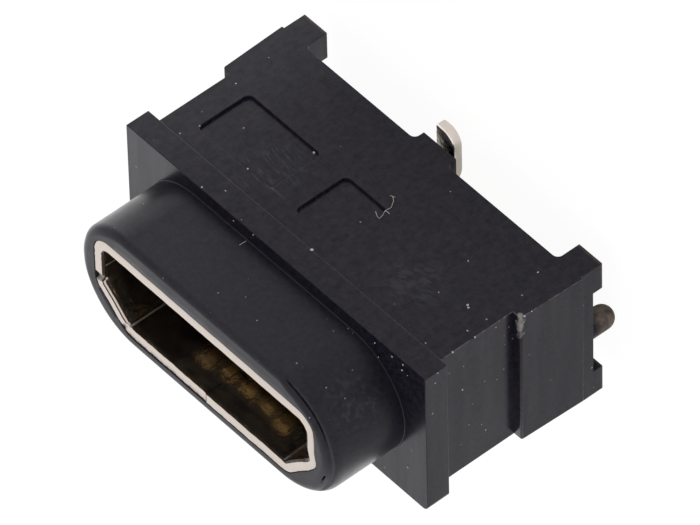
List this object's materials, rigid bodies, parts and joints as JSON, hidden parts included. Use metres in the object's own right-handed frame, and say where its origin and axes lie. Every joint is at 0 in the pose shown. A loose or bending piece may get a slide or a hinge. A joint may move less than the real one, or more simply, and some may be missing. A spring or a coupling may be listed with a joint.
{
  "type": "micro usb socket",
  "caption": "Upright board socket for a micro usb plug: black moulded body with flange, pads and pegs, soft oval nose round a folded metal shell, and gold contacts on a tongue.",
  "frame": {"origin": "middle of the part on the board's surface, in the plane of the standoffs, the shield foot and the tails", "axes": "+Z out of the mouth, away from the board; +X along the mouth; +Y towards the mouth's wide side and the shield foot"},
  "size_m": [0.0102, 0.0048, 0.008],
  "materials": {
    "housing_plastic": "fine-grained moulded black, satin",
    "sleeve_rubber": "smooth moulded black, dusty satin",
    "shell_steel": "bright plated sheet with pale sheared edges",
    "carrier_plastic": "moulded black, matt",
    "contact_gold": "gold plated strip, satin"
  },
  "bodies": {
    "root": {"housing": "housing_plastic", "nose_sleeve": "sleeve_rubber", "shell": "shell_steel", "contact_carrier": "carrier_plastic", "contact_vbus": "contact_gold", "contact_data_minus": "contact_gold", "contact_data_plus": "contact_gold", "contact_id": "contact_gold", "contact_ground": "contact_gold"}
  },
  "joints": []
}
